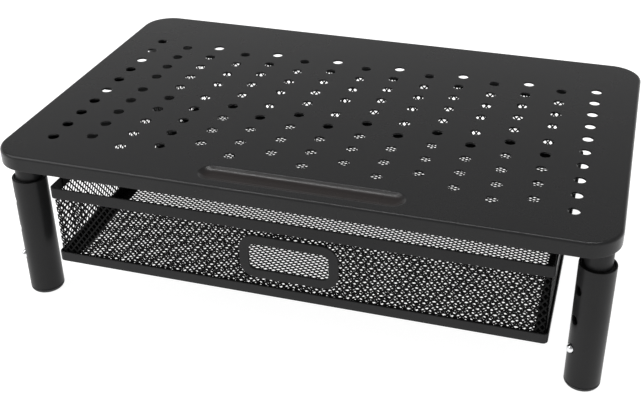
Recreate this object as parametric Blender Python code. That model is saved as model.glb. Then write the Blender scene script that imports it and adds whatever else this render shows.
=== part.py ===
"""Monitor riser stand: a vented sheet steel plate on four telescopic legs, over a sliding mesh drawer.

Metres, +Z up, +X to the right and -Y towards the user. The origin is on the desk, under the plate's middle.
"""

import math

import bmesh
import bpy

# ---- driving dimensions ------------------------------------------------------------------------------------
PLATE_WIDTH = 0.370
PLATE_DEPTH = 0.235
HEIGHT = 0.1085  # top face above the desk with the legs at their shortest
CORNER_RADIUS = 0.0205
SHEET = 0.0012
BEND_RADIUS = 0.002
SKIRT_HEIGHT = 0.0095
GAP = 0.0003  # left between solids that touch on the real object
OVERRUN = 0.001  # how far a cutting tool runs past the face it cuts

VENT_RADIUS = 0.0035
VENT_SIDES = 8
COLUMN_PITCH = 0.02248
ROW_PITCH = 0.0174
COLUMNS = 15
LONG_COLUMN_START = 0.0693  # rearmost hole of the even columns
LONG_COLUMN_HOLES = 10
SPLIT_COLUMN_STARTS = ((0.0631, 4), (-0.0106, 5))  # rearmost hole and count of each run in the odd columns

TRAY_CENTRE = (0.006, -0.102)
TRAY_LENGTH = 0.123
TRAY_WIDTH = 0.016
TRAY_DEPTH = 0.0025
TRAY_SLOPE = 0.0015  # how far the tray's wall leans in

LEG_X = 0.1738
LEG_Y = 0.0952
TUBE_RADIUS = 0.0106
TUBE_WALL = 0.0015
TUBE_TOP_DEPTH = 0.0257  # below the top face
POST_RADIUS = 0.008
POST_WALL = 0.0013
POST_BOTTOM = 0.013  # above the desk
POST_CAP = 0.003  # thickness of the post's closed top
CHAMFER = 0.0004
BOSS_RADIUS = 0.0080
STUD_RADIUS = 0.0035
BUSH_HEIGHT = 0.012
BUSH_RECESS = 0.0005
FOOT_HEIGHT = 0.0024
PLUG_HEIGHT = 0.0100
PLUG_WALL = 0.0015
LATCH_DEPTHS = (0.0417, 0.0617, 0.0817)  # latch holes below the top face
LATCH_ANGLE = math.radians(55)  # turned from straight ahead towards the left
LATCH_HOLE_RADIUS = 0.0030
BUTTON_RADIUS = 0.0027
BUTTON_REACH = 0.0130  # tip of the button from the leg's axis
BUTTON_SEAT = 0.0042  # back of the button's flange from the leg's axis
BUTTON_FLANGE = (0.0036, 0.0011)  # radius and thickness
SPRING_LEAF = 0.0006
SPRING_WIDTH = 0.0048
SPRING_BACK = -0.0056  # outer face of the back leaf from the leg's axis

BRACKET_X = (0.1610, 0.1832)
BRACKET_HALF_LENGTH = 0.104
BRACKET_CORNER = 0.008
BRACKET_TOP_DEPTH = 0.0068
BRACKET_NOTCHES = ((-0.0200, -0.0030), (0.0345, 0.0820))  # front and rear edge of each
BRACKET_NOTCH_X = 0.1725  # how far out a notch reaches

DRAWER_HALF_WIDTH = 0.1525
DRAWER_FRONT = -0.1085
DRAWER_BACK = 0.1172
DRAWER_CORNER = 0.003
STRIP = 0.0011  # thickness of the drawer's framing strip
RIM_TOP_DEPTH = 0.0238
RIM_HEIGHT = 0.0074
BASE_BOTTOM_DEPTH = 0.0765
BASE_HEIGHT = 0.0065
BASE_FLANGE = 0.009
BASE_FLANGE_THICKNESS = 0.0008
MESH = 0.0008
HANDLE_SIZE = (0.061, 0.0295)
HANDLE_CORNER = 0.010
HANDLE_OPENING = (0.049, 0.0174)
HANDLE_OPENING_CORNER = 0.004
HANDLE_DEPTH = 0.0493  # centre of the handle below the top face
HANDLE_THICKNESS = 0.0016

RAIL_SHEET = 0.001
RAIL_WEB_X = 0.1440
RAIL_TOP_FLANGE = 0.0055
RAIL_BOTTOM_FLANGE = 0.0053
RAIL_BOTTOM_DEPTH = 0.0203
RAIL_FRONT = -0.085
RAIL_BACK = 0.1125
RUNNER_FRONT = -0.095
RUNNER_BACK = 0.107
RUNNER_BOTTOM_DEPTH = 0.0300
STOP_HEIGHT = 0.004


# ---- materials ---------------------------------------------------------------------------------------------
def material(name, colour, roughness, metallic):
    """A plain Principled material in linear colour."""
    made = bpy.data.materials.new(name)
    made.use_nodes = True
    shader = made.node_tree.nodes["Principled BSDF"]
    shader.inputs["Base Color"].default_value = (*colour, 1.0)
    shader.inputs["Roughness"].default_value = roughness
    shader.inputs["Metallic"].default_value = metallic
    made.diffuse_color = (*colour, 1.0)
    return made


# ---- mesh tools --------------------------------------------------------------------------------------------
def add_object(name, bm, finish, smooth_angle=None):
    """Turns a bmesh into an object with outward faces, shaded smooth below the given angle."""
    bmesh.ops.recalc_face_normals(bm, faces=bm.faces)
    mesh = bpy.data.meshes.new(name)
    bm.to_mesh(mesh)
    bm.free()
    mesh.materials.append(finish)
    if smooth_angle:
        mesh.shade_smooth()
        mesh.set_sharp_from_angle(angle=math.radians(smooth_angle))
    made = bpy.data.objects.new(name, mesh)
    bpy.context.scene.collection.objects.link(made)
    return made


def loft(rings, closed=False):
    """A solid through rings of points: capped at both ends, or closed back onto its first ring."""
    bm = bmesh.new()
    loops = [[bm.verts.new(point) for point in ring] for ring in rings]
    count = len(loops[0])
    pairs = list(zip(loops, loops[1:]))
    if closed:
        pairs.append((loops[-1], loops[0]))
    for low, high in pairs:
        for i in range(count):
            j = (i + 1) % count
            bm.faces.new((low[i], low[j], high[j], high[i]))
    if not closed:
        bm.faces.new(loops[0])
        bm.faces.new(loops[-1])
    return bm


def circle(radius, z, sides, centre=(0.0, 0.0)):
    """Points of a level circle."""
    turn = 2 * math.pi / sides
    return [
        (centre[0] + radius * math.cos(i * turn), centre[1] + radius * math.sin(i * turn), z)
        for i in range(sides)
    ]


def turned(profile, sides, closed=False):
    """A solid of revolution about Z from (radius, height) pairs."""
    return loft([circle(radius, z, sides) for radius, z in profile], closed)


def rounded_rectangle(width, depth, radius, z, steps=4, centre=(0.0, 0.0)):
    """Points of a level rectangle whose corners are arcs of the given radius."""
    points = []
    for quarter in range(4):
        start = quarter * math.pi / 2
        sx = 1 if quarter in (0, 3) else -1
        sy = 1 if quarter in (0, 1) else -1
        cx = centre[0] + sx * (width / 2 - radius)
        cy = centre[1] + sy * (depth / 2 - radius)
        for i in range(steps + 1):
            angle = start + i / steps * math.pi / 2
            points.append((cx + radius * math.cos(angle), cy + radius * math.sin(angle), z))
    return points


def block(low, high):
    """An upright box between two corners."""
    corners = [(low[0], low[1]), (high[0], low[1]), (high[0], high[1]), (low[0], high[1])]
    return loft([[(x, y, z) for x, y in corners] for z in (low[2], high[2])])


def extruded(outline, y_front, y_back):
    """A solid with an outline in X and Z, run along Y."""
    return loft([[(x, y, z) for x, z in outline] for y in (y_front, y_back)])


def gathered(solids):
    """Several solids that stay apart, as one bmesh."""
    whole = bmesh.new()
    for solid in solids:
        mesh = bpy.data.meshes.new("gathered")
        solid.to_mesh(mesh)
        solid.free()
        whole.from_mesh(mesh)
        bpy.data.meshes.remove(mesh)
    return whole


def cut(target, cutter, operation="DIFFERENCE"):
    """Cuts a hidden tool solid, given in the target's own frame, from the target, or joins it on."""
    tool = add_object(target.name + "_" + operation.lower() + "_tool", cutter, target.data.materials[0])
    tool.location = target.location
    tool.hide_render = True
    tool.display_type = "WIRE"
    modifier = target.modifiers.new(operation.title(), "BOOLEAN")
    modifier.operation = operation
    modifier.solver = "EXACT"
    modifier.object = tool


# ---- top plate ---------------------------------------------------------------------------------------------
def vent_centres():
    """Hole centres: full even columns, split odd columns, and none where the tray is."""
    for column in range(COLUMNS):
        x = (column - (COLUMNS - 1) / 2) * COLUMN_PITCH
        if column % 2:
            for start, count in SPLIT_COLUMN_STARTS:
                for row in range(count):
                    yield x, start - row * ROW_PITCH
        else:
            over_tray = abs(x) < TRAY_LENGTH * 0.6
            for row in range(LONG_COLUMN_HOLES - over_tray):
                yield x, LONG_COLUMN_START - row * ROW_PITCH


def plate_ring(inset, z):
    """The plate's outline drawn in by an inset."""
    return rounded_rectangle(
        PLATE_WIDTH - 2 * inset, PLATE_DEPTH - 2 * inset, CORNER_RADIUS - inset, z, steps=6
    )


def tray_ring(margin, z):
    """The tray's outline, a slot with round ends, let out by a margin."""
    width = TRAY_WIDTH + 2 * margin
    return rounded_rectangle(TRAY_LENGTH + 2 * margin, width, width * 0.49, z, 5, TRAY_CENTRE)


def top_plate(finish):
    """Sheet with its edge folded down all round, a pressed tray and the vent holes."""
    bottom = HEIGHT - SKIRT_HEIGHT
    rings = [plate_ring(0, bottom)]
    for i in range(4):
        angle = i / 3 * math.pi / 2
        inset = BEND_RADIUS * (1 - math.cos(angle))
        rings.append(plate_ring(inset, HEIGHT - BEND_RADIUS * (1 - math.sin(angle))))
    inner = [plate_ring(SHEET, bottom), plate_ring(SHEET, HEIGHT - BEND_RADIUS)]
    inner.append(plate_ring(BEND_RADIUS, HEIGHT - SHEET))
    plate = add_object("top_plate", loft(list(reversed(rings)) + inner), finish, 40)
    pan = [tray_ring(SHEET, HEIGHT - TRAY_DEPTH - SHEET), tray_ring(SHEET, HEIGHT - SHEET / 2)]
    cut(plate, loft(pan), "UNION")
    over = HEIGHT + OVERRUN
    holes = [loft([tray_ring(-TRAY_SLOPE, HEIGHT - TRAY_DEPTH), tray_ring(0, over)])]
    for centre in vent_centres():
        low = circle(VENT_RADIUS, HEIGHT - 2 * SHEET, VENT_SIDES, centre)
        holes.append(loft([low, circle(VENT_RADIUS, over, VENT_SIDES, centre)]))
    cut(plate, gathered(holes))


# ---- legs --------------------------------------------------------------------------------------------------
def latch_points(points):
    """Carries points from a frame whose +X runs out through the latch to the leg's own frame."""
    cos, sin = -math.sin(LATCH_ANGLE), -math.cos(LATCH_ANGLE)
    return [(cos * x - sin * y, sin * x + cos * y, z) for x, y, z in points]


def latch_pin(radii_and_reach, z, sides=14):
    """Rings of a round pin that lies along the latch direction at height z."""
    rings = []
    for radius, reach in radii_and_reach:
        turn = 2 * math.pi / sides
        ring = [
            (reach, radius * math.cos(i * turn), z + radius * math.sin(i * turn)) for i in range(sides)
        ]
        rings.append(latch_points(ring))
    return rings


def place(made, corner):
    """Stands a piece on a leg's axis."""
    made.location = (corner[0], corner[1], 0.0)
    return made


def latch_cutter(depths, reach):
    """Round cutters for latch holes at depths below the top face, between two reaches from the axis."""
    pins = []
    for depth in depths:
        rings = [(LATCH_HOLE_RADIUS, reach[0]), (LATCH_HOLE_RADIUS, reach[1])]
        pins.append(loft(latch_pin(rings, HEIGHT - depth)))
    return gathered(pins)


def post_and_boss(label, corner, steel):
    """The boss welded under the plate, and the inner post whose stud runs up through bracket and boss."""
    underside = HEIGHT - SHEET - GAP
    boss_low = HEIGHT - BRACKET_TOP_DEPTH + GAP
    bore = STUD_RADIUS + GAP
    boss = [(BOSS_RADIUS, underside), (BOSS_RADIUS, boss_low), (bore, boss_low), (bore, underside)]
    place(add_object("leg_boss_" + label, turned(boss, 24, True), steel, 30), corner)

    top = HEIGHT - BRACKET_TOP_DEPTH - SHEET - GAP
    bore = POST_RADIUS - POST_WALL
    post = [(bore, top - POST_CAP), (bore, POST_BOTTOM), (POST_RADIUS, POST_BOTTOM), (POST_RADIUS, top)]
    post += [(STUD_RADIUS, top), (STUD_RADIUS, underside - GAP)]
    inner_post = place(add_object("inner_post_" + label, turned(post, 28), steel, 30), corner)
    cut(inner_post, latch_cutter(LATCH_DEPTHS[-1:], (bore * 0.6, POST_RADIUS + OVERRUN)))


def tube_and_ends(label, corner, steel, plastic):
    """The outer tube with its latch holes, the guide bush in its top and the foot cap in its bottom."""
    top = HEIGHT - TUBE_TOP_DEPTH
    inside = TUBE_RADIUS - TUBE_WALL
    tube = [(TUBE_RADIUS, FOOT_HEIGHT + GAP), (TUBE_RADIUS, top - CHAMFER), (TUBE_RADIUS - CHAMFER, top)]
    tube += [(inside, top), (inside, FOOT_HEIGHT + GAP)]
    outer_tube = place(add_object("outer_tube_" + label, turned(tube, 32, True), steel, 30), corner)
    cut(outer_tube, latch_cutter(LATCH_DEPTHS, (inside * 0.8, TUBE_RADIUS + OVERRUN)))

    bush_high = top - BUSH_RECESS
    bush_low = bush_high - BUSH_HEIGHT
    bush_out = inside - GAP
    bush_in = POST_RADIUS + GAP
    bush = [(bush_out, bush_high), (bush_out, bush_low), (bush_in, bush_low), (bush_in, bush_high)]
    place(add_object("guide_bush_" + label, turned(bush, 24, True), plastic, 30), corner)

    plug = inside - GAP
    cup = plug - PLUG_WALL
    foot = [(TUBE_RADIUS - 3 * CHAMFER, 0.0), (TUBE_RADIUS - CHAMFER / 2, CHAMFER)]
    foot += [(TUBE_RADIUS, 3 * CHAMFER)]
    foot += [(TUBE_RADIUS, FOOT_HEIGHT), (plug, FOOT_HEIGHT), (plug, PLUG_HEIGHT)]
    foot += [(cup, PLUG_HEIGHT), (cup, FOOT_HEIGHT)]
    place(add_object("foot_cap_" + label, turned(foot, 28), plastic, 30), corner)


def snap_latch(label, corner, bright):
    """The latch button, and the folded leaf spring behind it inside the post."""
    latch_z = HEIGHT - LATCH_DEPTHS[-1]
    flange_radius, flange = BUTTON_FLANGE
    front = BUTTON_SEAT + flange
    button = [(flange_radius, BUTTON_SEAT), (flange_radius, front), (BUTTON_RADIUS, front)]
    button += [(BUTTON_RADIUS, BUTTON_REACH - 0.0018), (BUTTON_RADIUS * 0.8, BUTTON_REACH - 0.0007)]
    button += [(BUTTON_RADIUS * 0.35, BUTTON_REACH)]
    place(add_object("snap_button_" + label, loft(latch_pin(button, latch_z, 16)), bright, 30), corner)

    leaf = SPRING_LEAF
    front = BUTTON_SEAT - GAP
    back = SPRING_BACK
    low = POST_BOTTOM + 0.002
    high = latch_z + 0.005
    bend = 0.002
    outline = [(front, high), (front, low + bend), (front - bend, low)]
    outline += [(back + bend, low), (back, low + bend)]
    outline += [(back, high), (back + leaf, high), (back + leaf, low + bend + leaf / 2)]
    outline += [(back + bend + leaf / 2, low + leaf), (front - bend - leaf / 2, low + leaf)]
    outline += [(front - leaf, low + bend + leaf / 2), (front - leaf, high)]
    sides = [latch_points([(x, y, z) for x, z in outline]) for y in (-SPRING_WIDTH / 2, SPRING_WIDTH / 2)]
    place(add_object("snap_spring_" + label, loft(sides), bright), corner)


def bracket(label, side, steel):
    """A notched strip inside the plate's skirt that ties the two legs of one side together."""
    high = HEIGHT - BRACKET_TOP_DEPTH
    low = high - SHEET
    inner, outer = BRACKET_X
    middle = (side * (inner + outer) / 2, 0.0)
    rings = [
        rounded_rectangle(outer - inner, 2 * BRACKET_HALF_LENGTH, BRACKET_CORNER, z, 5, middle)
        for z in (low, high)
    ]
    strip = add_object("leg_bracket_" + label, loft(rings), steel)
    ends = sorted((side * (inner - OVERRUN), side * BRACKET_NOTCH_X))
    tools = [
        block((ends[0], front, low - OVERRUN), (ends[1], rear, high + OVERRUN))
        for front, rear in BRACKET_NOTCHES
    ]
    for y in (-LEG_Y, LEG_Y):
        centre = (side * LEG_X, y)
        hole = [circle(STUD_RADIUS + GAP, z, 24, centre) for z in (low - OVERRUN, high + OVERRUN)]
        tools.append(loft(hole))
    cut(strip, gathered(tools))


# ---- drawer rails ------------------------------------------------------------------------------------------
def rail(label, side, steel, plastic):
    """A folded channel spot-welded under the plate, with an outward flange that the drawer hooks over."""
    top = HEIGHT - SHEET - GAP
    low = HEIGHT - RAIL_BOTTOM_DEPTH
    web = RAIL_WEB_X + RAIL_SHEET
    outline = [(RAIL_WEB_X - RAIL_TOP_FLANGE, top), (web, top), (web, low + RAIL_SHEET)]
    outline += [(web + RAIL_BOTTOM_FLANGE, low + RAIL_SHEET), (web + RAIL_BOTTOM_FLANGE, low)]
    outline += [(RAIL_WEB_X, low), (RAIL_WEB_X, top - RAIL_SHEET)]
    outline += [(RAIL_WEB_X - RAIL_TOP_FLANGE, top - RAIL_SHEET)]
    mirrored = [(side * x, z) for x, z in outline]
    add_object("drawer_rail_" + label, extruded(mirrored, RAIL_FRONT, RAIL_BACK), steel)

    shelf = low + RAIL_SHEET + GAP
    ends = sorted((side * (web + GAP), side * (web + RAIL_BOTTOM_FLANGE - GAP)))
    front = (ends[0], RUNNER_BACK + GAP, shelf)
    back = (ends[1], RAIL_BACK - GAP, shelf + STOP_HEIGHT)
    add_object("drawer_stop_" + label, block(front, back), plastic)


# ---- drawer ------------------------------------------------------------------------------------------------
def drawer_ring(inset, z):
    """The drawer's outline drawn in by an inset."""
    depth = DRAWER_BACK - DRAWER_FRONT
    middle = (DRAWER_BACK + DRAWER_FRONT) / 2
    radius = max(DRAWER_CORNER - inset, 0.0008)
    return rounded_rectangle(
        2 * (DRAWER_HALF_WIDTH - inset), depth - 2 * inset, radius, z, 3, (0.0, middle)
    )


def drawer_frames(steel):
    """The rim round the top, and the strip and flat flange that frame the base."""
    top = HEIGHT - RIM_TOP_DEPTH
    low = top - RIM_HEIGHT
    rim = [drawer_ring(0, low), drawer_ring(0, top), drawer_ring(STRIP, top), drawer_ring(STRIP, low)]
    add_object("drawer_rim", loft(rim, True), steel)
    low = HEIGHT - BASE_BOTTOM_DEPTH
    top = low + BASE_HEIGHT
    base = [drawer_ring(0, low), drawer_ring(0, top), drawer_ring(STRIP, top), drawer_ring(STRIP, low)]
    add_object("drawer_base_frame", loft(base, True), steel)
    edge = STRIP + GAP
    shelf = low + BASE_FLANGE_THICKNESS
    flange = [drawer_ring(edge, low), drawer_ring(edge, shelf)]
    flange += [drawer_ring(BASE_FLANGE, shelf), drawer_ring(BASE_FLANGE, low)]
    add_object("drawer_base_flange", loft(flange, True), steel)


def handle_ring(size, radius, y):
    """An upright rounded rectangle round the handle's centre, in the plane at y."""
    level = rounded_rectangle(size[0], size[1], radius, 0.0, 5)
    return [(x, y, HEIGHT - HANDLE_DEPTH + z) for x, z, _ in level]


def drawer_panels(steel):
    """The floor and four walls of mesh, as plain sheets, and the handle plate in front of the front one."""
    inset = STRIP + GAP
    floor_low = HEIGHT - BASE_BOTTOM_DEPTH + BASE_FLANGE_THICKNESS + GAP
    floor = [drawer_ring(inset, floor_low), drawer_ring(inset, floor_low + MESH)]
    add_object("drawer_mesh_floor", loft(floor), steel)

    low = floor_low + MESH + GAP
    high = HEIGHT - RUNNER_BOTTOM_DEPTH - GAP
    x_out = DRAWER_HALF_WIDTH - inset
    y_front = DRAWER_FRONT + inset
    y_back = DRAWER_BACK - inset
    half = x_out - MESH - GAP
    front = add_object("drawer_mesh_front", block((-half, y_front, low), (half, y_front + MESH, high)), steel)
    opening = (HANDLE_OPENING[0] + 2 * STRIP, HANDLE_OPENING[1] + 2 * STRIP)
    corner = HANDLE_OPENING_CORNER + STRIP
    cut(front, loft([handle_ring(opening, corner, y_front + y) for y in (-OVERRUN, MESH + OVERRUN)]))
    add_object("drawer_mesh_back", block((-half, y_back - MESH, low), (half, y_back, high)), steel)
    for label, side in (("left", -1), ("right", 1)):
        ends = sorted((side * x_out, side * (x_out - MESH)))
        low_corner = (ends[0], y_front + MESH + GAP, low)
        high_corner = (ends[1], y_back - MESH - GAP, high)
        add_object("drawer_mesh_" + label, block(low_corner, high_corner), steel)

    y_back_face = y_front - GAP
    y_face = y_back_face - HANDLE_THICKNESS
    rings = [handle_ring(HANDLE_SIZE, HANDLE_CORNER, y) for y in (y_back_face, y_face)]
    rings += [handle_ring(HANDLE_OPENING, HANDLE_OPENING_CORNER, y) for y in (y_face, y_back_face)]
    add_object("drawer_handle", loft(rings, True), steel)


def runner(label, side, steel):
    """A folded strip inside the drawer's rim whose top lip hooks over the rail's flange."""
    out = DRAWER_HALF_WIDTH - STRIP - GAP
    lip_low = HEIGHT - RAIL_BOTTOM_DEPTH + RAIL_SHEET + GAP
    lip_in = RAIL_WEB_X + RAIL_SHEET + GAP
    low = HEIGHT - RUNNER_BOTTOM_DEPTH
    face = RAIL_WEB_X + RAIL_SHEET + RAIL_BOTTOM_FLANGE + GAP
    outline = [(lip_in, lip_low), (lip_in, lip_low + RAIL_SHEET), (out, lip_low + RAIL_SHEET), (out, low)]
    outline += [(face, low), (face, lip_low)]
    mirrored = [(side * x, z) for x, z in outline]
    add_object("drawer_runner_" + label, extruded(mirrored, RUNNER_FRONT, RUNNER_BACK), steel)


# ---- the whole stand ---------------------------------------------------------------------------------------
def main():
    for old in list(bpy.data.objects):
        bpy.data.objects.remove(old)
    plate_coat = material("plate_powder_coat", (0.048, 0.048, 0.049), 0.55, 0.0)
    steel = material("frame_powder_coat", (0.040, 0.040, 0.041), 0.5, 0.0)
    wire = material("mesh_powder_coat", (0.035, 0.035, 0.036), 0.5, 0.0)
    plastic = material("black_plastic", (0.02, 0.02, 0.021), 0.6, 0.0)
    bright = material("bright_steel", (0.75, 0.75, 0.76), 0.25, 1.0)

    top_plate(plate_coat)
    corners = {
        "front_left": (-LEG_X, -LEG_Y),
        "front_right": (LEG_X, -LEG_Y),
        "rear_left": (-LEG_X, LEG_Y),
        "rear_right": (LEG_X, LEG_Y),
    }
    for label, corner in corners.items():
        post_and_boss(label, corner, steel)
        tube_and_ends(label, corner, steel, plastic)
        snap_latch(label, corner, bright)
    for label, side in (("left", -1), ("right", 1)):
        bracket(label, side, steel)
        rail(label, side, steel, plastic)
        runner(label, side, steel)
    drawer_frames(steel)
    drawer_panels(wire)


main()
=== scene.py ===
"""Looks of the monitor riser stand: fine surfaces and finishes round its fixed frame.

Metres, +Z up, +X to the right and -Y towards the user. Places come from the boxes of the frame's nodes.
"""

import math

import bmesh
import bpy
import numpy as np
from mathutils.geometry import delaunay_2d_cdt
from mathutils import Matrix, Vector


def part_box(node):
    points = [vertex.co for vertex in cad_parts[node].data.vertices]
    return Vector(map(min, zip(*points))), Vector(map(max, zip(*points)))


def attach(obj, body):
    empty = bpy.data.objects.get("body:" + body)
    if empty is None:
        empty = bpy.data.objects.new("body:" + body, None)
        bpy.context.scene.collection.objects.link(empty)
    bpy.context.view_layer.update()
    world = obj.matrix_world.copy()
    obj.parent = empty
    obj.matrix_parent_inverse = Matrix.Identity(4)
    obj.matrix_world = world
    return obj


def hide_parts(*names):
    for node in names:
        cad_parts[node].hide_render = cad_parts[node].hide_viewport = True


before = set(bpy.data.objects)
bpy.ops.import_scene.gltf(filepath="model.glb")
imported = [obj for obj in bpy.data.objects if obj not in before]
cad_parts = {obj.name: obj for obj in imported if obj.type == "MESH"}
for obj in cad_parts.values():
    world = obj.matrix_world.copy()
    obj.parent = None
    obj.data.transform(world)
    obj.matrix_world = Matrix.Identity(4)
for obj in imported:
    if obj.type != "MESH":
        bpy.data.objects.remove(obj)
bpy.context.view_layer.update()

CORNERS = ("front_left", "front_right", "rear_left", "rear_right")
SIDES = (("left", -1), ("right", 1))

# ---- sheet metal of the plate ------------------------------------------------------------------------------
SHEET = 0.0012
BEND_RADIUS = 0.002
PLATE_CORNER = 0.0205
VENT_RADIUS = 0.0035
VENT_FACETS = 32
EASE = 0.0002  # how far the coat rounds off a cut edge
GAP = 0.0003  # left between two neighbours in one body
COLUMN_PITCH = 0.02248
ROW_PITCH = 0.0174
COLUMNS = 15
LONG_COLUMN_START = 0.0693
LONG_COLUMN_VENTS = 10
SPLIT_COLUMN_RUNS = ((0.0631, 4), (-0.0106, 5))
TRAY_CENTRE = (0.006, -0.102)
TRAY_HALF = (0.0615, 0.008)
TRAY_DEPTH = 0.0025

# ---- tubes and latches -------------------------------------------------------------------------------------
LATCH_ANGLE = math.radians(55)
LATCH_DIRECTION = (-math.sin(LATCH_ANGLE), -math.cos(LATCH_ANGLE))
LATCH_HOLE = 0.003
LATCH_STEP = 0.02
TUBE_WALL = 0.0015
POST_WALL = 0.0013
TUBE_COLUMNS = 88
CELL = LATCH_STEP / 26  # height of one cell of the tube's grid
HALF_BLOCK = 4  # cells from a latch hole's middle to the edge of its block
TUBE_EASE = 0.0004
STUD_RADIUS = 0.0035
POST_WEB = 0.003  # thickness of the post's closed top under the shoulder
AXIS_HOLE = 0.0004  # a turned profile stops this far from its axis, and a flat cap closes it
BUSH_BORE = 0.0083
FOOT_HEIGHT = 0.0024  # from the floor to the shelf that the tube stands on
BUTTON_SEAT = 0.0042  # where the button's flange starts, from the leg's axis
BUTTON_FLANGE = 0.0036
BUTTON_NECK = 0.0027
BUTTON_TIP = 0.0130
BUTTON_DOME = 0.0024

# ---- drawer ------------------------------------------------------------------------------------------------
STRIP = 0.0011
DRAWER_CORNER = 0.003
FLANGE = 0.009
FLANGE_SHEET = 0.0008
PULL_BAND = 0.006
PULL_CORNER = 0.010
FLOOR_NET = (0.00525, 0.00303)  # from opening to opening along a row, and from a row to the next but one
WALL_NET = (0.004128, 0.005258)
FLOOR_NET_START = (-0.0005, -0.00085)  # middle of one opening
NET_STRAND = 0.00114  # width of a strand
NET_RISE = 0.00025  # height of a strand's ridge over the middle of the net
STRAND_POWER = 2.6  # 2 would make the strand's section an ellipse, and more makes it squarer
NET_TUCK = 0.58 * PULL_BAND  # how far the front net reaches in behind the pull

# ---- leg brackets ------------------------------------------------------------------------------------------
BRACKET_CORNER = 0.008
BRACKET_NOTCHES = ((-0.0200, -0.0030), (0.0345, 0.0820))
BRACKET_NOTCH_X = 0.1725
BRACKET_NOTCH_CORNER = 0.0015
STUD_HOLE = 0.0038

# ---- rails and runners -------------------------------------------------------------------------------------
RAIL_SHEET = 0.001
RAIL_HOOK = 0.0053  # how far the rail's ledge reaches out past its web
RUNNER_SKIN = 0.0005

# ---- light -------------------------------------------------------------------------------------------------
TABLE_GLOW = 0.95
SKY_LOW = 1.0
SKY_HIGH = 0.28
SKY_RAMP = (0.08, 0.45)  # the heights, as sines, between which the sky turns from low to high
LEFT_POWER = 16.0
TOP_POWER = 26.0


# ---- grids and profiles ------------------------------------------------------------------------------------
def grid_faces(numbers, wrap_rows=False, wrap_columns=True):
    """Quads between neighbours in a table of point numbers: (r, c), (r, c+1), (r+1, c+1), (r+1, c)."""
    right = np.roll(numbers, -1, 1)
    quads = np.stack([numbers, right, np.roll(right, -1, 0), np.roll(numbers, -1, 0)], -1)
    quads = quads if wrap_rows else quads[:-1]
    quads = quads if wrap_columns else quads[:, :-1]
    return quads.reshape(-1, 4)


def numbered(points):
    """The table of point numbers of a grid of points."""
    return np.arange(points.shape[0] * points.shape[1]).reshape(points.shape[:2])


def softened(corners, reach, steps=3, closed=True):
    """Rounds each corner P of a profile by (1-s)^2 A + 2s(1-s) P + s^2 B, with A and B a reach from P."""
    corners = np.asarray(corners, float)
    reach = np.broadcast_to(reach, len(corners))[:, None]
    before = np.roll(corners, 1, 0) - corners
    after = np.roll(corners, -1, 0) - corners
    start = corners + reach * before / np.linalg.norm(before, axis=1, keepdims=True)
    end = corners + reach * after / np.linalg.norm(after, axis=1, keepdims=True)
    s = np.linspace(0, 1, steps + 1)[:, None, None]
    arcs = ((1 - s) ** 2 * start + 2 * s * (1 - s) * corners + s**2 * end).transpose(1, 0, 2)
    if closed:
        return arcs.reshape(-1, 2)
    return np.concatenate([corners[:1], arcs[1:-1].reshape(-1, 2), corners[-1:]])


def carried_round(profile, half, radius, steps=8, centre=(0.0, 0.0)):
    """A profile of (inset, height) carried round a rounded rectangle.

    Row i is the outline drawn in by inset i: each corner's centre plus (radius - inset) (cos a, sin a).
    """
    inset, height = np.asarray(profile, float).T[:, :, None]
    angle = (np.arange(4)[:, None] + np.linspace(0, 1, steps + 1)).ravel() * np.pi / 2
    side_x = np.repeat([1, -1, -1, 1], steps + 1)
    side_y = np.repeat([1, 1, -1, -1], steps + 1)
    reach = np.maximum(radius - inset, 0.0006)
    x = centre[0] + side_x * (half[0] - inset - reach) + reach * np.cos(angle)
    y = centre[1] + side_y * (half[1] - inset - reach) + reach * np.sin(angle)
    return np.stack([x, y, height + 0 * x], -1)


def turned(profile, columns, centre=(0.0, 0.0)):
    """A profile of (radius, height) turned about an upright axis: (r cos a, r sin a, h)."""
    radius, height = np.asarray(profile, float).T[:, :, None]
    angle = np.arange(columns) * 2 * np.pi / columns
    x = centre[0] + radius * np.cos(angle)
    y = centre[1] + radius * np.sin(angle)
    return np.stack([x, y, height + 0 * x], -1)


def capped(points):
    """Faces of an open grid of rings with a flat face over its first and last ring."""
    numbers = numbered(points)
    return [grid_faces(numbers), numbers[:1, ::-1], numbers[-1:]]


def joined(parts):
    """One list of points and faces from several (points, faces) parts."""
    points, faces, first = [], [], 0
    for part_points, part_faces in parts:
        flat = part_points.reshape(-1, 3)
        points.append(flat)
        faces += [block + first for block in part_faces]
        first += len(flat)
    return np.concatenate(points), faces


def enclosed(points, faces):
    """Six times the volume inside the faces: the sum of a . (b x c) over a fan of each face."""
    total = 0.0
    for block in faces:
        corner = points[block]
        fan = np.cross(corner[:, 1:-1], corner[:, 2:])
        total += np.einsum("ij,ikj->", corner[:, 0], fan)
    return total


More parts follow.
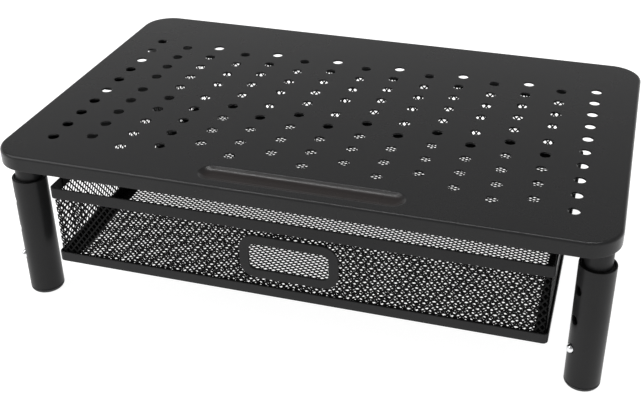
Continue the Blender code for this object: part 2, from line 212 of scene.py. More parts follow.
def piece(name, points, faces, finish, body, nodes, weighted=True):
    """Welds the points, turns the faces outward and makes the object that stands for the frame's nodes."""
    points = points.reshape(-1, 3)
    used = np.concatenate([block.ravel() for block in faces])
    micrometres = np.round(points[used] * 1e6).astype(np.int64)
    _, first, number = np.unique(micrometres, axis=0, return_index=True, return_inverse=True)
    welded = points[used][first]
    ends = np.cumsum([block.size for block in faces])[:-1]
    blocks = np.split(number.ravel(), ends)
    blocks = [corners.reshape(block.shape) for corners, block in zip(blocks, faces)]
    if enclosed(welded, blocks) < 0:
        blocks = [block[:, ::-1] for block in blocks]
    sizes = np.concatenate([np.full(len(block), block.shape[1]) for block in blocks])
    mesh = bpy.data.meshes.new(name)
    mesh.vertices.add(len(welded))
    mesh.vertices.foreach_set("co", welded.astype(np.float32).ravel())
    mesh.loops.add(sizes.sum())
    corners = np.concatenate([block.ravel() for block in blocks])
    mesh.loops.foreach_set("vertex_index", corners.astype(np.int32))
    mesh.polygons.add(len(sizes))
    mesh.polygons.foreach_set("loop_start", (np.cumsum(sizes) - sizes).astype(np.int32))
    mesh.update(calc_edges=True)
    mesh.validate()
    mesh.shade_smooth()
    mesh.materials.append(finish)
    made = bpy.data.objects.new(name, mesh)
    bpy.context.scene.collection.objects.link(made)
    if weighted:
        modifier = made.modifiers.new("Even shading", "WEIGHTED_NORMAL")
        modifier.mode = "FACE_AREA"
        modifier.weight = 50
    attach(made, body)
    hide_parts(*nodes)
    return made


# ---- finishes ----------------------------------------------------------------------------------------------
class Finish:
    """A Principled material with helpers for its nodes."""

    def __init__(self, name, roughness, metallic, specular):
        self.material = bpy.data.materials.new(name)
        self.material.use_nodes = True
        self.tree = self.material.node_tree
        self.shader = self.tree.nodes["Principled BSDF"]
        self.shader.inputs["Roughness"].default_value = roughness
        self.shader.inputs["Metallic"].default_value = metallic
        self.shader.inputs["Specular IOR Level"].default_value = specular
        self.place = self.tree.nodes.new("ShaderNodeTexCoord").outputs["Object"]

    def noise(self, scale, detail=2.0, roughness=0.5):
        """Cloudy noise with features about 1 / scale metres across."""
        node = self.tree.nodes.new("ShaderNodeTexNoise")
        node.inputs["Scale"].default_value = scale
        node.inputs["Detail"].default_value = detail
        node.inputs["Roughness"].default_value = roughness
        self.tree.links.new(self.place, node.inputs["Vector"])
        return node.outputs["Fac"]

    def spread(self, value, low, high, start=0.3, end=0.7):
        """Maps the middle of a noise's range onto low to high."""
        node = self.tree.nodes.new("ShaderNodeMapRange")
        for socket, number in (("From Min", start), ("From Max", end), ("To Min", low), ("To Max", high)):
            node.inputs[socket].default_value = number
        self.tree.links.new(value, node.inputs["Value"])
        return node.outputs["Result"]

    def mixed(self, factor, first, second):
        """A colour between two colours or links."""
        node = self.tree.nodes.new("ShaderNodeMix")
        node.data_type = "RGBA"
        self.tree.links.new(factor, node.inputs["Factor"])
        for socket, colour in ((node.inputs[6], first), (node.inputs[7], second)):
            if isinstance(colour, tuple):
                socket.default_value = (*colour, 1.0)
            else:
                self.tree.links.new(colour, socket)
        return node.outputs[2]

    def bump(self, height, depth, strength, under=None):
        """Raises the surface by a height field, over the normal of an earlier bump."""
        node = self.tree.nodes.new("ShaderNodeBump")
        node.inputs["Distance"].default_value = depth
        node.inputs["Strength"].default_value = strength
        self.tree.links.new(height, node.inputs["Height"])
        if under:
            self.tree.links.new(under, node.inputs["Normal"])
        return node.outputs["Normal"]

    def drive(self, socket, value):
        """Links a value to a socket of the shader."""
        self.tree.links.new(value, self.shader.inputs[socket])


def powder_coat(name, dark, light, roughness, specular, grain=1.0):
    """Baked powder: fine speckle, soft orange peel and slow cloudiness of tone and gloss."""
    coat = Finish(name, roughness, 0.0, specular)
    speckle = coat.noise(1500, 2.0)
    cloud = coat.noise(22, 4.0)
    peel = coat.noise(520, 2.0)
    fine = coat.noise(2600, 3.0, 0.65)
    tone = coat.mixed(coat.spread(speckle, 0.0, 1.0), dark, light)
    deeper = tuple(0.84 * channel for channel in dark)
    coat.drive("Base Color", coat.mixed(coat.spread(cloud, 0.0, 0.5), tone, deeper))
    coat.drive("Roughness", coat.spread(cloud, roughness - 0.04, roughness + 0.05))
    coat.drive("Normal", coat.bump(fine, 0.00003, 0.5 * grain, coat.bump(peel, 0.00006, 0.45 * grain)))
    return coat


def plate_finish():
    """The plate's coat, with painted shade down in the tray: the base colour turns a little deeper and warmer
    with the tray's depth.
    """
    coat = powder_coat("plate_powder_coat", (0.014, 0.014, 0.0144), (0.020, 0.020, 0.0204), 0.25, 0.20)
    # painted shade: the tray's depth mixes the base colour towards a darker, warmer tone down in the recess
    depth = coat.tree.nodes.new("ShaderNodeAttribute")
    depth.attribute_name = "tray_shade_depth"
    plain = coat.shader.inputs["Base Color"].links[0].from_socket
    shaded_warm_tone = coat.mixed(coat.noise(900, 2.0), (0.016, 0.0135, 0.013), (0.021, 0.0175, 0.017))
    coat.drive("Base Color", coat.mixed(depth.outputs["Fac"], plain, shaded_warm_tone))
    return coat.material


def moulded_plastic():
    """Black moulded plastic with a fine spark-eroded grain."""
    plastic = Finish("moulded_plastic", 0.55, 0.0, 0.4)
    grain = plastic.noise(3200, 2.0)
    flow = plastic.noise(60, 3.0)
    speckle = plastic.spread(grain, 0.0, 1.0)
    plastic.drive("Base Color", plastic.mixed(speckle, (0.014, 0.014, 0.015), (0.024, 0.024, 0.025)))
    plastic.drive("Roughness", plastic.spread(flow, 0.48, 0.62))
    plastic.drive("Normal", plastic.bump(grain, 0.00003, 0.5))
    return plastic.material


def plated_steel():
    """Bright zinc plate with faint drawing marks."""
    steel = Finish("plated_steel", 0.2, 1.0, 0.5)
    marks = steel.noise(1800, 3.0)
    haze = steel.noise(240, 2.0)
    brightness = steel.spread(haze, 0.0, 1.0)
    steel.drive("Base Color", steel.mixed(brightness, (0.70, 0.71, 0.73), (0.86, 0.86, 0.87)))
    steel.drive("Roughness", steel.spread(haze, 0.12, 0.28))
    steel.drive("Normal", steel.bump(marks, 0.00001, 0.3))
    return steel.material


PLATE_COAT = plate_finish()
FRAME_COAT, SHADE_PAINTED_COAT, LEG_COAT, NET_COAT = (
    powder_coat(name, dark, light, roughness, specular, grain).material
    for name, dark, light, roughness, specular, grain in (
        ("frame_powder_coat", (0.0145, 0.0145, 0.015), (0.0205, 0.0205, 0.021), 0.40, 0.16, 1.0),
        # painted shade: the rails, runners, brackets and collars get a far darker copy of the powder coat,
        # standing for the shade they sit in under the plate
        ("shade_painted_powder_coat", (0.004, 0.004, 0.004), (0.007, 0.007, 0.007), 0.62, 0.10, 0.6),
        ("leg_powder_coat", (0.013, 0.013, 0.0134), (0.0175, 0.0175, 0.018), 0.34, 0.16, 0.6),
        ("net_powder_coat", (0.004, 0.004, 0.0041), (0.007, 0.007, 0.0071), 0.55, 0.07, 0.5),
    )
)
PLASTIC = moulded_plastic()
STEEL = plated_steel()


# ---- top plate ---------------------------------------------------------------------------------------------
def vent_centres():
    """Middles of the vents: full even columns and split odd columns, with none where the tray is."""
    centres = []
    for column in range(COLUMNS):
        x = (column - (COLUMNS - 1) / 2) * COLUMN_PITCH
        over_tray = abs(x) < TRAY_HALF[0] * 1.2
        runs = SPLIT_COLUMN_RUNS if column % 2 else ((LONG_COLUMN_START, LONG_COLUMN_VENTS - over_tray),)
        centres += [(x, start - row * ROW_PITCH) for start, count in runs for row in range(count)]
    return np.array(centres)


def flat_between(rings):
    """Triangles of the flat sheet inside the first ring of points and outside all the others.

    The net of triangles is Delaunay's with the rings as fixed edges; a triangle whose three corners
    lie on one inner ring fills that ring's hole, so it is left out.
    """
    points = np.concatenate(rings)
    ring = np.repeat(np.arange(len(rings)), [len(r) for r in rings])
    edges, first = [], 0
    for outline in rings:
        numbers = first + np.arange(len(outline))
        edges.append(np.stack([numbers, np.roll(numbers, -1)], 1))
        first += len(outline)
    millimetres = [tuple(point) for point in points * 1000]
    net = delaunay_2d_cdt(millimetres, np.concatenate(edges).tolist(), [], 1, 1e-6)
    source = np.array([origin[0] for origin in net[3]])
    triangles = source[np.array(net[2])]
    a, b, c = (ring[triangles[:, k]] for k in range(3))
    triangles = triangles[~((a == b) & (b == c) & (a > 0))]
    p, q, r = (points[triangles[:, k]] for k in range(3))
    backward = np.cross(q - p, r - p) < 0
    triangles[backward] = triangles[backward][:, ::-1]
    return points, triangles


def riser_plate():
    """Folded sheet with vents and a pressed tray.

    The two flats are the sheet between the rims. The edge is a profile of bend, skirt and hem carried
    round the outline, each vent is a turned profile, and the tray is a soft step carried round a slot.
    """
    low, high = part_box("top_plate")
    top = high.z
    under = top - SHEET
    half = (high.x, high.y)
    bend = np.linspace(0, np.pi / 2, 9)
    outer = np.stack([BEND_RADIUS * (1 - np.cos(bend)), top - BEND_RADIUS * (1 - np.sin(bend))], 1)
    inner_radius = BEND_RADIUS - SHEET
    inner_inset = SHEET + inner_radius * (1 - np.sin(bend))
    inner = np.stack([inner_inset, under - inner_radius * (1 - np.cos(bend))], 1)
    hem = softened([(SHEET, low.z + 0.003), (SHEET, low.z), (0, low.z), (0, low.z + 0.003)], 0.0004, 4, False)
    edge = carried_round(np.concatenate([inner, hem, outer]), half, PLATE_CORNER, 14)

    rim = VENT_RADIUS + EASE
    s = np.linspace(0, np.pi / 2, 4)
    lip = np.stack([rim - EASE * np.sin(s), -EASE * (1 - np.cos(s))], 1)
    bore = np.concatenate([lip, lip[::-1] * (1, -1) - (0, SHEET)])
    bore[-1] = (rim, -SHEET)
    centres = vent_centres()
    vent = turned(bore, VENT_FACETS)
    vents = vent[None] + np.concatenate([centres, np.full((len(centres), 1), top)], 1)[:, None, None]
    vent_numbers = numbered(vent) + np.arange(len(centres))[:, None, None] * vent.shape[0] * vent.shape[1]
    vent_faces = np.concatenate([grid_faces(numbers) for numbers in vent_numbers])

    step = softened(
        [(-0.0010, 0), (0.0001, 0), (0.0036, TRAY_DEPTH), (TRAY_HALF[1] - 0.0012, TRAY_DEPTH)],
        (0.0, 0.0005, 0.0026, 0.0), 8, False,
    )
    pressed = carried_round(step * (1, -1) + (0, top), TRAY_HALF, TRAY_HALF[1] * 0.98, 8, TRAY_CENTRE)
    pressed_under = pressed - (0, 0, SHEET)
    pressed_numbers = numbered(pressed)

    rings = [edge[-1, :, :2], pressed[0, :, :2], *vents[:, 0, :, :2]]
    flat, triangles = flat_between(rings)
    upper = np.column_stack([flat, np.full(len(flat), top)])
    lower = np.column_stack([flat, np.full(len(flat), under)])
    points, faces = joined([
        (upper, [triangles]),
        (lower, [triangles[:, ::-1]]),
        (edge, [grid_faces(numbered(edge))]),
        (vents, [vent_faces]),
        (pressed, [grid_faces(pressed_numbers), pressed_numbers[-1:]]),
        (pressed_under, [grid_faces(pressed_numbers)[:, ::-1], pressed_numbers[-1:, ::-1]]),
    ])
    made = piece("riser_plate", points, faces, PLATE_COAT, "frame", ["top_plate"])
    # the tray's depth, stored on the points, drives the painted shade in the plate's colour
    place = np.empty(len(made.data.vertices) * 3, np.float32)
    made.data.vertices.foreach_get("co", place)
    x, y, z = place.reshape(-1, 3).T
    inside = (np.abs(x - TRAY_CENTRE[0]) < TRAY_HALF[0]) & (np.abs(y - TRAY_CENTRE[1]) < TRAY_HALF[1])
    depth = np.clip((top - z) / TRAY_DEPTH, 0, 1) * inside
    attribute = made.data.attributes.new("tray_shade_depth", "FLOAT", "POINT")
    attribute.data.foreach_set("value", depth.astype(np.float32))


# ---- legs --------------------------------------------------------------------------------------------------
def pierced(head, foot, crown, radii, heights, holes, wrap):
    """A turned wall with round latch holes through it, as one grid of rows (profile) and columns (angle).

    The profile runs head, inner wall downward, foot, outer wall upward, crown. Round each hole a square
    block of cells is left out; with m the point's distance in blocks and r in metres, a point moves to
    its own direction times (w + (1 - w) m R / r), so the block's edge becomes a circle of radius R and
    the pull fades as w goes from 0 at m = 1 to 1 at m = 2. Rings of a soft lip join the two circles.
    """
    inner_radius, outer_radius = radii
    inner = np.column_stack([np.full(len(heights), inner_radius), heights[::-1]])
    outer = np.column_stack([np.full(len(heights), outer_radius), heights])
    profile = np.concatenate([head, inner, foot, outer, crown])
    inner_start = len(head)
    outer_start = inner_start + len(heights) + len(foot)
    turn = 2 * np.pi / TUBE_COLUMNS
    count = np.arange(TUBE_COLUMNS)
    angle = np.where(count > TUBE_COLUMNS // 2, count - TUBE_COLUMNS, count) * turn
    radius = profile[:, :1] + 0 * angle
    height = profile[:, 1:] + 0 * angle
    angle = angle + 0 * radius
    block = np.array([HALF_BLOCK * turn * outer_radius, HALF_BLOCK * CELL])
    lip_radius = LATCH_HOLE + EASE
    for hole in holes:
        across = outer_radius * angle
        along = height - hole
        m = np.maximum(np.abs(across) / block[0], np.abs(along) / block[1])
        r = np.maximum(np.hypot(across, along), 1e-9)
        w = np.clip(m - 1, 0, 1)
        w = w * w * (3 - 2 * w)
        scale = w + (1 - w) * m * lip_radius / r
        near = m < 2
        arc = radius + (outer_radius - radius) * w
        angle = np.where(near, across * scale / arc, angle)
        height = np.where(near, hole + along * scale, height)
    points = np.stack([radius * np.cos(angle), radius * np.sin(angle), height], -1)

    numbers = numbered(points)
    kept = np.ones((len(profile) if wrap else len(profile) - 1, TUBE_COLUMNS), bool)
    side = np.arange(-HALF_BLOCK, HALF_BLOCK)
    end = np.full(2 * HALF_BLOCK, HALF_BLOCK)
    loop_column = np.concatenate([side, end, -side, -end])
    loop_row = np.concatenate([-end, side, end, -side])
    lip = np.linspace(0, np.pi / 2, 4)
    sink = EASE * (1 - np.cos(lip))
    depth = np.concatenate([sink, outer_radius - inner_radius - sink[::-1]])
    ring = np.concatenate([lip_radius - EASE * np.sin(lip), lip_radius - EASE * np.sin(lip[::-1])])
    extra, wall_faces, first = [], [], points.shape[0] * points.shape[1]
    for hole in holes:
        level = int(np.argmin(np.abs(heights - hole)))
        outer_row = outer_start + level
        inner_row = inner_start + len(heights) - 1 - level
        for row in (outer_row, inner_row):
            kept[np.ix_(row + side, side)] = False
        around = np.arctan2(loop_row * CELL, loop_column * turn * outer_radius)
        here = outer_radius - depth[1:-1, None]
        swing = ring[1:-1, None] * np.cos(around) / here
        rise = hole + ring[1:-1, None] * np.sin(around)
        wall = np.stack([here * np.cos(swing), here * np.sin(swing), rise], -1)
        extra.append(wall.reshape(-1, 3))
        table = [numbers[outer_row + loop_row, loop_column]]
        table += list(first + numbered(wall))
        table += [numbers[inner_row - loop_row, loop_column]]
        wall_faces.append(grid_faces(np.array(table)))
        first += extra[-1].shape[0]
    quads = grid_faces(numbers, wrap_rows=wrap).reshape(-1, TUBE_COLUMNS, 4)[kept]
    faces = [quads, *wall_faces]
    if not wrap:
        faces += [numbers[:1, ::-1], numbers[-1:]]
    return np.concatenate([points.reshape(-1, 3), *extra]), faces


def levels(low, high, anchor):
    """Heights one cell apart that pass through the anchor and keep half a cell from both ends."""
    first = math.ceil((low - anchor) / CELL + 0.5)
    last = math.floor((high - anchor) / CELL - 0.5)
    return anchor + np.arange(first, last + 1) * CELL


def on_leg(points, centre):
    """Turns a piece's +X into the latch direction and stands it on the leg's axis."""
    across, along = LATCH_DIRECTION
    x, y, z = points.reshape(-1, 3).T
    return np.stack([centre[0] + across * x - along * y, centre[1] + along * x + across * y, z], 1)


def leg(label):
    """One leg's weld boss, post, tube with latch holes, bush, foot and latch button."""
    low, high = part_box("outer_tube_" + label)
    centre = ((low.x + high.x) / 2, (low.y + high.y) / 2)
    outer = (high.x - low.x) / 2
    inner = outer - TUBE_WALL
    button_low, button_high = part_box("snap_button_" + label)
    latch = (button_low.z + button_high.z) / 2
    foot = [(inner, high.z), (inner, low.z), (outer, low.z), (outer, high.z)]
    foot = softened(foot, TUBE_EASE, 4, False)[1:-1]
    crown = [(outer, low.z), (outer, high.z), (inner, high.z), (inner, low.z)]
    crown = softened(crown, TUBE_EASE, 5, False)[1:-1]
    heights = levels(low.z + TUBE_EASE, high.z - TUBE_EASE, latch)
    holes = latch + np.arange(3) * LATCH_STEP
    points, faces = pierced(crown[:0], foot, crown, (inner, outer), heights, holes, True)
    piece("leg_tube_" + label, on_leg(points, centre), faces, LEG_COAT,
          "leg_" + label, ["outer_tube_" + label])

    low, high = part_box("inner_post_" + label)
    outer = (high.x - low.x) / 2
    inner = outer - POST_WALL
    boss_low, boss_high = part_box("leg_boss_" + label)
    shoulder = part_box("leg_bracket_" + label.split("_")[1])[0].z - GAP
    head = [(AXIS_HOLE, shoulder - POST_WEB), (inner, shoulder - POST_WEB), (inner, low.z)]
    head = softened(head, TUBE_EASE, 3, False)[:-1]
    foot = [(inner, high.z), (inner, low.z), (outer, low.z), (outer, high.z)]
    foot = softened(foot, TUBE_EASE, 3, False)[1:-1]
    crown = [(outer, low.z), (outer, shoulder), (STUD_RADIUS, shoulder), (STUD_RADIUS, high.z)]
    crown = softened([*crown, (AXIS_HOLE, high.z)], (0, 0.0008, 0.0003, 0.0004, 0), 4, False)[1:]
    heights = levels(low.z + TUBE_EASE, shoulder - POST_WEB - 0.0005, latch)
    points, faces = pierced(head, foot, crown, (inner, outer), heights, [latch], False)
    piece("leg_post_" + label, on_leg(points, centre), faces, FRAME_COAT,
          "frame", ["inner_post_" + label])

    reach = (boss_high.x - boss_low.x) / 2
    bore = STUD_RADIUS + GAP
    neck = reach - 0.0012
    collar = [(bore, boss_low.z), (neck, boss_low.z), (neck, boss_high.z - 0.0025)]
    collar += [(reach, boss_high.z), (bore, boss_high.z)]
    ring = turned(softened(collar, (0.0003, 0.0006, 0.0012, 0.0003, 0.0003), 4), 48, centre)
    piece("leg_collar_" + label, ring, [grid_faces(numbered(ring), True)], SHADE_PAINTED_COAT,
          "frame", ["leg_boss_" + label])

    low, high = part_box("guide_bush_" + label)
    bush_out = (high.x - low.x) / 2
    sleeve = [(BUSH_BORE, low.z), (bush_out, low.z), (bush_out, high.z), (BUSH_BORE, high.z)]
    ring = turned(softened(sleeve, 0.00015, 3), 56, centre)
    piece("leg_bush_" + label, ring, [grid_faces(numbered(ring), True)], PLASTIC,
          "leg_" + label, ["guide_bush_" + label])

    low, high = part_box("foot_cap_" + label)
    rim = (high.x - low.x) / 2
    plug = rim - TUBE_WALL - GAP
    cup = [(0.0005, 0.0003), (0.0065, 0.0003), (0.0070, 0.0), (rim - 0.0008, 0.0), (rim, 0.0012)]
    cup += [(rim, FOOT_HEIGHT), (plug, FOOT_HEIGHT), (plug, high.z), (plug - 0.0015, high.z)]
    cup += [(plug - 0.0015, FOOT_HEIGHT), (0.0005, FOOT_HEIGHT)]
    ease = (0, 0.0002, 0.0002, 0.0004, 0.0004, 0.0003, 0.0002, 0.0004, 0.0004, 0.0005, 0)
    cup = softened(cup, ease, 3, False)
    solid = turned(cup, 56, centre)
    piece("leg_foot_" + label, solid, capped(solid), PLASTIC,
          "leg_" + label, ["foot_cap_" + label])

    top = BUTTON_SEAT + 0.0011
    pin = [(0.0005, BUTTON_SEAT), (BUTTON_FLANGE, BUTTON_SEAT), (BUTTON_FLANGE, top)]
    pin += [(BUTTON_NECK, top), (BUTTON_NECK, BUTTON_TIP)]
    pin = softened(pin, (0, 0.0002, 0.0002, 0.0002, 0), 3, False)[:-1]
    dome = np.linspace(0, 0.94 * np.pi / 2, 8)
    nose_height = BUTTON_TIP - BUTTON_DOME + BUTTON_DOME * np.sin(dome)
    nose = np.stack([BUTTON_NECK * np.cos(dome), nose_height], 1)
    button = turned(np.concatenate([pin, nose]), 40)
    lying = np.stack([button[..., 2], button[..., 1], latch - button[..., 0]], -1)
    piece("latch_button_" + label, on_leg(lying, centre), capped(button), STEEL,
          "button_" + label, ["snap_button_" + label])


# ---- leg brackets ------------------------------------------------------------------------------------------
def drawn_in(outline, inset):
    """Moves each corner of a square-cornered outline inward along the normals of its two sides."""
    side = np.roll(outline, -1, 0) - outline
    side = side / np.linalg.norm(side, axis=1, keepdims=True)
    inward = np.stack([-side[:, 1], side[:, 0]], 1)
    return outline + inset * (inward + np.roll(inward, 1, 0))


def leg_bracket(label, side):
    """The strip that joins one side's two legs under the plate: notched, with stud holes and soft edges."""
    low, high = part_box("leg_bracket_" + label)
    near, far = sorted((abs(low.x), abs(high.x)))
    outline = [(near, low.y), (far, low.y), (far, high.y), (near, high.y)]
    for start, end in reversed(BRACKET_NOTCHES):
        outline += [(near, end), (BRACKET_NOTCH_X, end), (BRACKET_NOTCH_X, start), (near, start)]
    outline = np.array(outline)
    reach = np.full(len(outline), BRACKET_NOTCH_CORNER)
    reach[:4] = BRACKET_CORNER
    lip = np.linspace(0, np.pi / 2, 4)
    inset = EASE * (1 - np.sin(lip))
    drop = EASE * (1 - np.cos(lip))
    profile = np.concatenate([np.stack([inset, high.z - drop], 1), np.stack([inset, low.z + drop], 1)[::-1]])
    edge = np.stack([
        np.column_stack([softened(drawn_in(outline, amount), reach, 6), np.full(7 * len(outline), height)])
        for amount, height in profile
    ])
    holes = []
    for end in ("front_", "rear_"):
        stud_low, stud_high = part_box("leg_boss_" + end + label)
        centre = (side * (stud_low.x + stud_high.x) / 2, (stud_low.y + stud_high.y) / 2)
        holes.append(turned(profile + (STUD_HOLE, 0), 32, centre))
    flat, triangles = flat_between([edge[0, :, :2], *(hole[0, :, :2] for hole in holes)])
    parts = [(np.column_stack([flat, np.full(len(flat), high.z)]), [triangles]),
             (np.column_stack([flat, np.full(len(flat), low.z)]), [triangles[:, ::-1]]),
             (edge, [grid_faces(numbered(edge))[:, ::-1]])]
    parts += [(hole, [grid_faces(numbered(hole))]) for hole in holes]
    points, faces = joined(parts)
    piece("leg_bracket_plate_" + label, points * (side, 1, 1), faces, SHADE_PAINTED_COAT,
          "frame", ["leg_bracket_" + label])


# ---- rails and runners -------------------------------------------------------------------------------------
def folded_strip(name, outline, ease, ends, finish, body, node):
    """An outline in X and Z with softened corners, run along Y between two soft-edged ends."""
    profile = softened(outline, ease, 4)
    middle = profile.mean(0)
    back, front = ends
    stations = np.array([back, back - 0.0003, front + 0.0003, front])
    shrink = np.array([0.985, 1.0, 1.0, 0.985])[:, None, None]
    rows = middle + (profile - middle) * shrink
    y = np.broadcast_to(stations[:, None], rows.shape[:2])
    bar = np.stack([rows[..., 0], y, rows[..., 1]], -1)
    return piece(name, bar, capped(bar), finish, body, [node])


def slide(label, side):
    """One side's rail under the plate, the drawer's runner that hooks over it, and the end stop."""
    low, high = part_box("drawer_rail_" + label)
    near, far = sorted((abs(low.x), abs(high.x)))
    web = far - RAIL_HOOK
    back = web - RAIL_SHEET
    ledge = low.z + RAIL_SHEET
    skin = high.z - RAIL_SHEET
    outline = [(near, high.z), (web, high.z), (web, ledge), (far, ledge)]
    outline += [(far, low.z), (back, low.z), (back, skin), (near, skin)]
    ease = (0.0003, 0.0014, 0.0005, 0.0003, 0.0003, 0.0014, 0.0005, 0.0003)
    folded_strip("slide_rail_" + label, [(side * x, z) for x, z in outline], ease, (high.y, low.y),
                 SHADE_PAINTED_COAT, "frame", "drawer_rail_" + label)
    low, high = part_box("drawer_runner_" + label)
    near, far = sorted((abs(low.x), abs(high.x)))
    wall = far - RUNNER_SKIN
    hook = high.z - RAIL_SHEET
    outline = [(near, hook), (near, high.z), (far, high.z), (far, low.z), (wall, low.z), (wall, hook)]
    ease = (0.0003, 0.0003, 0.0014, 0.0002, 0.0002, 0.0005)
    folded_strip("slide_runner_" + label, [(side * x, z) for x, z in outline], ease, (high.y, low.y),
                 SHADE_PAINTED_COAT, "drawer", "drawer_runner_" + label)
    low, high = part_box("drawer_stop_" + label)
    outline = [(low.x, low.z), (high.x, low.z), (high.x, high.z), (low.x, high.z)]
    folded_strip("slide_stop_" + label, outline, (0.0003, 0.0003, 0.0012, 0.0012), (high.y, low.y),
                 PLASTIC, "frame", "drawer_stop_" + label)


# ---- drawer ------------------------------------------------------------------------------------------------
def drawer_frames():
    """The rim strip and the angle frame, each a soft-edged profile carried round the drawer's outline."""
    for name, nodes in (("drawer_top_rim", ["drawer_rim"]),
                        ("drawer_angle_frame", ["drawer_base_frame", "drawer_base_flange"])):
        low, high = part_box(nodes[0])
        half = ((high.x - low.x) / 2, (high.y - low.y) / 2)
        centre = ((high.x + low.x) / 2, (high.y + low.y) / 2)
        section = [(0, low.z), (0, high.z), (STRIP, high.z)]
        if len(nodes) == 1:
            section += [(STRIP, low.z)]
        else:
            shelf = low.z + FLANGE_SHEET
            section += [(STRIP, shelf), (FLANGE, shelf), (FLANGE, low.z)]
        ease = (0.0004, 0.0004, 0.0004, 0.0004, 0.0003, 0.0003)[: len(section)]
        ring = carried_round(softened(section, ease, 4), half, DRAWER_CORNER, 8, centre)
        piece(name, ring, [grid_faces(numbered(ring), True)], FRAME_COAT, "drawer", nodes)


def drawer_pull():
    """The pull: a flat band with rolled edges carried round an upright rounded rectangle."""
    low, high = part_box("drawer_handle")
    thick = high.y - low.y
    half = ((high.x - low.x) / 2, (high.z - low.z) / 2)
    section = softened([(0, 0), (0, thick), (PULL_BAND, thick), (PULL_BAND, 0)], 0.0005, 5)
    flat = carried_round(section, half, PULL_CORNER, 12)
    middle = (high.z + low.z) / 2
    ring = np.stack([flat[..., 0], high.y - flat[..., 2], middle + flat[..., 1]], -1)
    piece("drawer_pull", ring, [grid_faces(numbered(ring), True)], FRAME_COAT,
          "drawer", ["drawer_handle"])


def net_cells(low, high, pitch, start, opening=None):
    """A drawn net of rhombic openings in the XY plane that covers a rectangle, as points and faces.

    Openings stand where i + j is even on a grid of half pitches counted from the start. A strand runs
    along each side of an opening's cell, and its section is an oval: at a share q of the strand's half
    width the surface is rise (1 - q^p)^(1/p) above the middle, with p the strand's power, and the cell's
    corners are drawn in by the factor 1 - q strand / D, with D the distance between two facing sides.
    Cells inside the opening's half size are left out, and a side with no neighbour is closed by an
    upright quad.
    """
    half = np.array(pitch) / 2
    first = np.floor((np.array(low) - start) / half).astype(int) - 1
    last = np.ceil((np.array(high) - start) / half).astype(int) + 1
    i, j = np.meshgrid(np.arange(first[0], last[0] + 1), np.arange(first[1], last[1] + 1), indexing="ij")
    present = (i + j) % 2 == 0
    if opening:
        middle, reach = opening
        x, y = start[0] + i * half[0], start[1] + j * half[1]
        present &= (np.abs(x - middle[0]) > reach[0]) | (np.abs(y - middle[1]) > reach[1])

    span = pitch[0] * pitch[1] / math.hypot(*pitch)
    share = np.array([0.0, 0.6, 1.0])
    rise = NET_RISE * (1 - share**STRAND_POWER) ** (1 / STRAND_POWER)
    share, rise = np.concatenate([share, share[-2::-1]]), np.concatenate([rise, -rise[-2::-1]])
    scale = (1 - share * NET_STRAND / span)[:, None, None]
    corners = np.array([(1, 0), (0, 1), (-1, 0), (0, -1)])
    grid = np.stack([i[present], j[present]], 1)
    flat = start + half * (grid[:, None, None] + scale * corners)
    points = np.concatenate([flat, np.broadcast_to(rise[:, None, None], flat.shape[:-1] + (1,))], -1)

    numbers = np.arange(len(rise) * 4).reshape(-1, 4)
    wrapped = grid_faces(numbers, wrap_rows=True)
    base = np.arange(len(grid))[:, None, None] * numbers.size
    faces = [(base + wrapped[:-4]).reshape(-1, 4)]
    around = np.pad(present, 1)
    for side, (di, dj) in enumerate(((1, 1), (-1, 1), (-1, -1), (1, -1))):
        neighbour = np.roll(around, (-di, -dj), (0, 1))[1:-1, 1:-1]
        faces.append(base[~neighbour[present], 0] + wrapped[side - 4])
    return points.reshape(-1, 3), faces


def trimmed(made, low, high, axes):
    """Cuts a piece off along two axes at the sides of a box, and closes the cut strands."""
    work = bmesh.new()
    work.from_mesh(made.data)
    for axis in axes:
        for corner, sign in ((low, -1), (high, 1)):
            outward = [sign if k == axis else 0 for k in range(3)]
            everything = work.verts[:] + work.edges[:] + work.faces[:]
            bmesh.ops.bisect_plane(work, geom=everything, plane_co=corner, plane_no=outward, clear_outer=True)
            bmesh.ops.holes_fill(work, edges=[edge for edge in work.edges if edge.is_boundary], sides=0)
    work.to_mesh(made.data)
    work.free()
    made.data.shade_smooth()


def stood(points, centre, across, along):
    """Lays a flat piece's X and Y along two directions through a centre; its Z goes along their cross."""
    axes = np.array([across, along, np.cross(across, along)], float)
    return np.asarray(centre) + points @ axes


def drawer_nets():
    """The drawer's floor in two halves, and its four walls."""
    low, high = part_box("drawer_mesh_floor")
    middle_z = (low.z + high.z) / 2
    middle_y = (low.y + high.y) / 2
    for label, near, far in (("front", low.y, middle_y), ("rear", middle_y, high.y)):
        points, faces = net_cells((low.x, near), (high.x, far), FLOOR_NET, FLOOR_NET_START)
        made = piece("net_floor_" + label, points + (0, 0, middle_z), faces, NET_COAT,
                     "drawer", ["drawer_mesh_floor"], weighted=False)
        trimmed(made, (low.x, near, low.z), (high.x, far, high.z), (0, 1))
    pull_low, pull_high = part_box("drawer_handle")
    pull_middle = (0.0, (pull_low.z + pull_high.z) / 2)
    pull_reach = ((pull_high.x - pull_low.x) / 2 - NET_TUCK, (pull_high.z - pull_low.z) / 2 - NET_TUCK)
    for label, axis in (("front", 0), ("back", 0), ("left", 1), ("right", 1)):
        low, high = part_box("drawer_mesh_" + label)
        opening = (pull_middle, pull_reach) if label == "front" else None
        points, faces = net_cells((low[axis], low.z), (high[axis], high.z), WALL_NET, (0.0, 0.0), opening)
        centre = [(low.x + high.x) / 2, (low.y + high.y) / 2, 0.0]
        centre[axis] = 0.0
        across = (1, 0, 0) if axis == 0 else (0, 1, 0)
        made = piece("net_" + label, stood(points, centre, across, (0, 0, 1)), faces, NET_COAT,
                     "drawer", ["drawer_mesh_" + label], weighted=False)
        trimmed(made, low, high, (axis, 2))


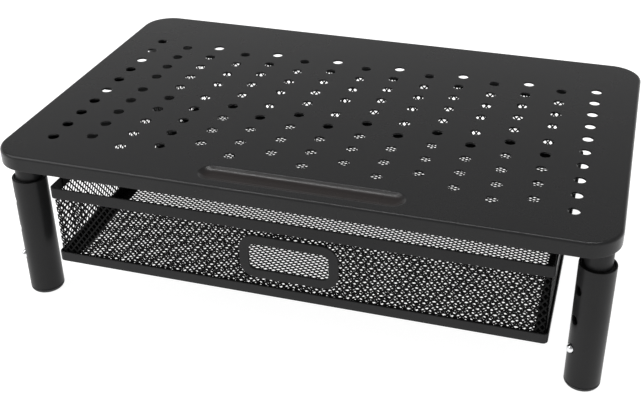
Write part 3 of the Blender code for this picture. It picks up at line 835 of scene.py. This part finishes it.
# ---- studio ------------------------------------------------------------------------------------------------
def softbox(name, place, target, size, power):
    """A rectangular area light at a place, turned to face a target."""
    light = bpy.data.lights.new(name, "AREA")
    light.shape = "RECTANGLE"
    light.size, light.size_y = size
    light.energy = power
    made = bpy.data.objects.new(name, light)
    made.location = place
    direction = made.location.copy()
    direction.x, direction.y, direction.z = (b - a for a, b in zip(place, target))
    made.rotation_euler = direction.to_track_quat("-Z", "Y").to_euler()
    bpy.context.scene.collection.objects.link(made)


def studio():
    """A bright white table under a sky that is white low down and greyer overhead, and two softboxes."""
    table = bpy.data.materials.new("white_table")
    table.use_nodes = True
    shader = table.node_tree.nodes["Principled BSDF"]
    shader.inputs["Base Color"].default_value = (0.3, 0.3, 0.3, 1.0)
    shader.inputs["Roughness"].default_value = 0.9
    shader.inputs["Specular IOR Level"].default_value = 0.0
    shader.inputs["Emission Color"].default_value = (1.0, 1.0, 1.0, 1.0)
    shader.inputs["Emission Strength"].default_value = TABLE_GLOW
    mesh = bpy.data.meshes.new("table_top")
    mesh.from_pydata([(-20, -20, 0), (20, -20, 0), (20, 20, 0), (-20, 20, 0)], [], [(0, 1, 2, 3)])
    mesh.materials.append(table)
    floor = bpy.data.objects.new("table_top", mesh)
    floor.location.z = -0.0002
    bpy.context.scene.collection.objects.link(floor)

    world = bpy.data.worlds.new("studio")
    bpy.context.scene.world = world
    world.use_nodes = True
    nodes, links = world.node_tree.nodes, world.node_tree.links
    direction = nodes.new("ShaderNodeTexCoord")
    split = nodes.new("ShaderNodeSeparateXYZ")
    ramp = nodes.new("ShaderNodeMapRange")
    ramp.interpolation_type = "SMOOTHSTEP"
    sockets = ("From Min", "From Max", "To Min", "To Max")
    for socket, number in zip(sockets, (*SKY_RAMP, SKY_LOW, SKY_HIGH)):
        ramp.inputs[socket].default_value = number
    links.new(direction.outputs["Generated"], split.inputs["Vector"])
    links.new(split.outputs["Z"], ramp.inputs["Value"])
    links.new(ramp.outputs["Result"], nodes["Background"].inputs["Strength"])
    nodes["Background"].inputs["Color"].default_value = (1.0, 1.0, 1.0, 1.0)

    softbox("softbox_left", (-1.1, -0.5, 1.3), (0, 0, 0.05), (1.2, 1.2), LEFT_POWER)
    softbox("softbox_top", (0.0, -0.1, 2.0), (0, 0, 0.05), (1.8, 0.2), TOP_POWER)
    bpy.context.scene.view_settings.view_transform = "Standard"


def camera():
    """A long lens above and to the right of the stand, looking down across it."""
    data = bpy.data.cameras.new("camera")
    data.sensor_width = 36.0
    data.lens = 58.19
    data.shift_x = -0.0502
    data.shift_y = -0.0393
    data.dof.use_dof = False
    made = bpy.data.objects.new("camera", data)
    made.location = (0.1724, -0.5796, 0.4043)
    made.rotation_euler = tuple(math.radians(angle) for angle in (60.211, -0.107, 15.816))
    bpy.context.scene.collection.objects.link(made)
    bpy.context.scene.camera = made


# ---- the whole stand ---------------------------------------------------------------------------------------
riser_plate()
for corner in CORNERS:
    leg(corner)
    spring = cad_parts["snap_spring_" + corner]
    spring.data.materials.clear()
    spring.data.materials.append(STEEL)
for side_name, side_sign in SIDES:
    leg_bracket(side_name, side_sign)
    slide(side_name, side_sign)
drawer_frames()
drawer_pull()
drawer_nets()
studio()
camera()
